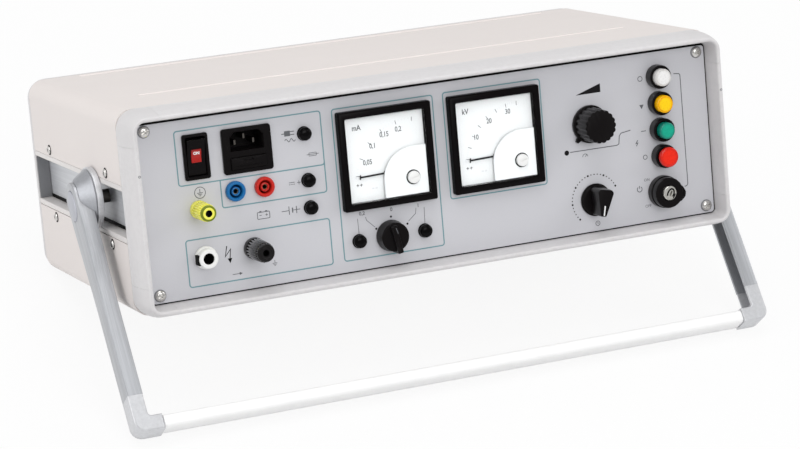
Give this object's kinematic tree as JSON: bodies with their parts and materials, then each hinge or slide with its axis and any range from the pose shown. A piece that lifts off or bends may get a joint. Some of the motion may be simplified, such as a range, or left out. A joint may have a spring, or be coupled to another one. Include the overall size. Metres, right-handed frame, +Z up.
{
  "type": "high voltage tester",
  "caption": "Bench high voltage tester: framed case with panel meters, rotary controls, lamps, buttons, sockets and a key switch, tilted back on its swinging carry handle.",
  "frame": {"origin": "middle of the footprint, on the surface it stands on with the handle under it as a stand", "axes": "+X to the right seen from the front, -Y out of the front, +Z up; the case leans back, so its panel faces up a little"},
  "size_m": [0.5024, 0.3242, 0.2163],
  "materials": {
    "cover_paint": "warm light grey paint, satin",
    "cast_frame": "light grey paint, satin",
    "panel_paint": "blue-grey anodised, printed",
    "satin_metal": "satin anodised",
    "black_plastic": "black, satin",
    "white_plastic": "white, satin",
    "foot_rubber": "dark grey, matt",
    "clear_window": "clear",
    "blue_plastic": "blue",
    "red_plastic": "red",
    "yellow_plastic": "yellow",
    "green_plastic": "green",
    "lock_steel": "plain turned steel",
    "needle_metal": "blackened"
  },
  "bodies": {
    "case": {"blue_socket": "blue_plastic", "bottom_cover": "cover_paint", "earth_post_base": "green_plastic", "foot_front_left": "foot_rubber", "foot_front_right": "foot_rubber", "foot_rear_left": "foot_rubber", "foot_rear_right": "foot_rubber", "frame_corner_bl": "cast_frame", "frame_corner_br": "cast_frame", "frame_corner_tl": "cast_frame", "frame_corner_tr": "cast_frame", "frame_rail_bottom": "cast_frame", "frame_rail_left": "cast_frame", "frame_rail_right": "cast_frame", "frame_rail_top": "cast_frame", "front_panel": "panel_paint", "green_button_collar": "black_plastic", "hv_socket": "white_plastic", "inlet_housing": "black_plastic", "key_switch_collar": "black_plastic", "meter_1_housing": "black_plastic", "meter_1_window": "clear_window", "meter_2_housing": "black_plastic", "meter_2_window": "clear_window", "pivot_plate_left": "satin_metal", "pivot_plate_right": "satin_metal", "rear_frame": "cast_frame", "rear_panel": "panel_paint", "red_button_collar": "black_plastic", "red_socket": "red_plastic", "return_post_base": "black_plastic", "side_profile_left": "satin_metal", "side_profile_right": "satin_metal", "switch_housing": "black_plastic", "top_cover": "cover_paint", "white_lamp": "white_plastic", "yellow_lamp": "yellow_plastic"},
    "handle": {"hub_left": "satin_metal", "hub_right": "satin_metal", "arm_left": "satin_metal", "arm_right": "satin_metal", "grip_corner_left": "satin_metal", "grip_corner_right": "satin_metal", "grip": "white_plastic"},
    "left_release": {"release_cap_left": "satin_metal"},
    "right_release": {"release_cap_right": "satin_metal"},
    "rocker": {"rocker": "red_plastic"},
    "fuse_drawer": {"fuse_drawer": "black_plastic"},
    "meter_1_needle": {"meter_1_needle": "needle_metal"},
    "meter_2_needle": {"meter_2_needle": "needle_metal"},
    "meter_1_adjuster": {"meter_1_zero_adjuster": "white_plastic"},
    "meter_2_adjuster": {"meter_2_zero_adjuster": "white_plastic"},
    "range_knob": {"range_knob": "black_plastic"},
    "voltage_knob": {"voltage_knob": "black_plastic"},
    "timer_knob": {"timer_knob": "black_plastic"},
    "green_button": {"green_button_cap": "green_plastic"},
    "red_button": {"red_button_cap": "red_plastic"},
    "key_plug": {"key_plug": "lock_steel"},
    "earth_post_cap": {"earth_post_cap": "yellow_plastic"},
    "return_post_cap": {"return_post_cap": "black_plastic"}
  },
  "joints": [
    {"name": "handle_swing", "type": "hinge", "parent": "case", "child": "handle", "pos_m": [0, -0.01466, 0.12352], "axis": [-1, 0, 0], "range_deg": [-90, 206]},
    {"name": "left_release_press", "type": "slide", "parent": "handle", "child": "left_release", "axis": [1, 0, 0], "range_m": [0, 0.002], "stiffness_N_per_m": 900, "springref_m": -0.001},
    {"name": "right_release_press", "type": "slide", "parent": "handle", "child": "right_release", "axis": [-1, 0, 0], "range_m": [0, 0.002], "stiffness_N_per_m": 900, "springref_m": -0.001},
    {"name": "rocker_tilt", "type": "hinge", "parent": "case", "child": "rocker", "pos_m": [-0.1804, -0.07985, 0.17903], "axis": [1, 0, 0], "range_deg": [-16, 0]},
    {"name": "fuse_drawer_pull", "type": "slide", "parent": "case", "child": "fuse_drawer", "axis": [0, -0.9477, 0.3192], "range_m": [0, 0.018]},
    {"name": "meter_1_reading", "type": "hinge", "parent": "case", "child": "meter_1_needle", "pos_m": [-0.02, -0.09532, 0.14499], "axis": [0, 0.9477, -0.3192], "range_deg": [0, 85], "stiffness_Nm_per_rad": 0.0002, "springref_deg": -8.59},
    {"name": "meter_2_reading", "type": "hinge", "parent": "case", "child": "meter_2_needle", "pos_m": [0.0662, -0.09532, 0.14499], "axis": [0, 0.9477, -0.3192], "range_deg": [0, 85], "stiffness_Nm_per_rad": 0.0002, "springref_deg": -8.59},
    {"name": "meter_1_zero_set", "type": "hinge", "parent": "case", "child": "meter_1_adjuster", "pos_m": [-0.02, -0.09267, 0.1441], "axis": [0, -0.9477, 0.3192], "range_deg": [-20, 20]},
    {"name": "meter_2_zero_set", "type": "hinge", "parent": "case", "child": "meter_2_adjuster", "pos_m": [0.0662, -0.09267, 0.1441], "axis": [0, -0.9477, 0.3192], "range_deg": [-20, 20]},
    {"name": "range_select", "type": "hinge", "parent": "case", "child": "range_knob", "pos_m": [-0.0396, -0.10563, 0.10562], "axis": [0, 0.9477, -0.3192], "range_deg": [-60, 60]},
    {"name": "voltage_set", "type": "hinge", "parent": "case", "child": "voltage_knob", "pos_m": [0.1247, -0.08693, 0.16115], "axis": [0, 0.9477, -0.3192], "range_deg": [0, 300]},
    {"name": "timer_set", "type": "hinge", "parent": "case", "child": "timer_knob", "pos_m": [0.125, -0.10505, 0.10733], "axis": [0, 0.9477, -0.3192], "range_deg": [0, 221]},
    {"name": "green_button_press", "type": "slide", "parent": "case", "child": "green_button", "axis": [0, 0.9477, -0.3192], "range_m": [0, 0.002], "stiffness_N_per_m": 500, "springref_m": -0.001},
    {"name": "red_button_press", "type": "slide", "parent": "case", "child": "red_button", "axis": [0, 0.9477, -0.3192], "range_m": [0, 0.002], "stiffness_N_per_m": 500, "springref_m": -0.001},
    {"name": "key_turn", "type": "hinge", "parent": "case", "child": "key_plug", "pos_m": [0.1808, -0.10563, 0.10561], "axis": [0, 0.9477, -0.3192], "range_deg": [0, 90]},
    {"name": "earth_post_unscrew", "type": "hinge", "parent": "case", "child": "earth_post_cap", "pos_m": [-0.182, -0.09277, 0.14381], "axis": [0, -0.9477, 0.3192], "range_deg": [0, 360]},
    {"name": "return_post_unscrew", "type": "hinge", "parent": "case", "child": "return_post_cap", "pos_m": [-0.144, -0.10346, 0.11206], "axis": [0, -0.9477, 0.3192], "range_deg": [0, 360]}
  ]
}
